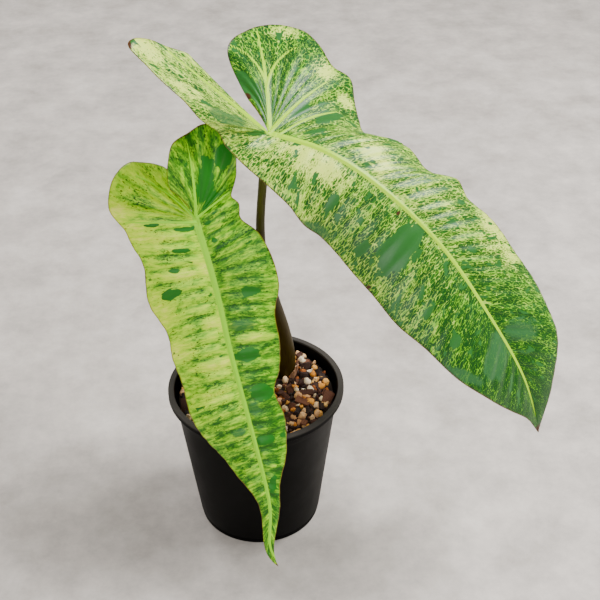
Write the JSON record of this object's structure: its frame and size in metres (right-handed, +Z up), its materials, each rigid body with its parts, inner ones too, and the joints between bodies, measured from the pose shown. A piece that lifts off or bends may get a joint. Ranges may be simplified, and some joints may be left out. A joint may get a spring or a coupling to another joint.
{
  "type": "potted foliage plant",
  "caption": "Young variegated aroid with long arrow-shaped blades on slim stalks, growing from bark mix in a plain black nursery pot.",
  "frame": {"origin": "centre of the pot's flat foot, where it stands", "axes": "+Z up the pot's axis; the plant's front is towards -Y, and the longer blade hangs towards +X"},
  "size_m": [0.3042, 0.2082, 0.3991],
  "materials": {
    "pot_plastic": "satin black",
    "potting_mix": "loose bark mix",
    "stem_skin": "dull",
    "stalk_skin": "smooth, slightly waxy",
    "dry_sheath": "dry and papery",
    "lime_blade": "satin leaf skin",
    "dark_blade": "glossy leaf skin"
  },
  "bodies": {
    "root": {"pot": "pot_plastic", "soil": "potting_mix", "stem": "stem_skin", "stalk_left": "stalk_skin", "stalk_right": "stalk_skin", "sheath": "dry_sheath", "leaf_left": "lime_blade", "leaf_right": "dark_blade"}
  },
  "joints": []
}
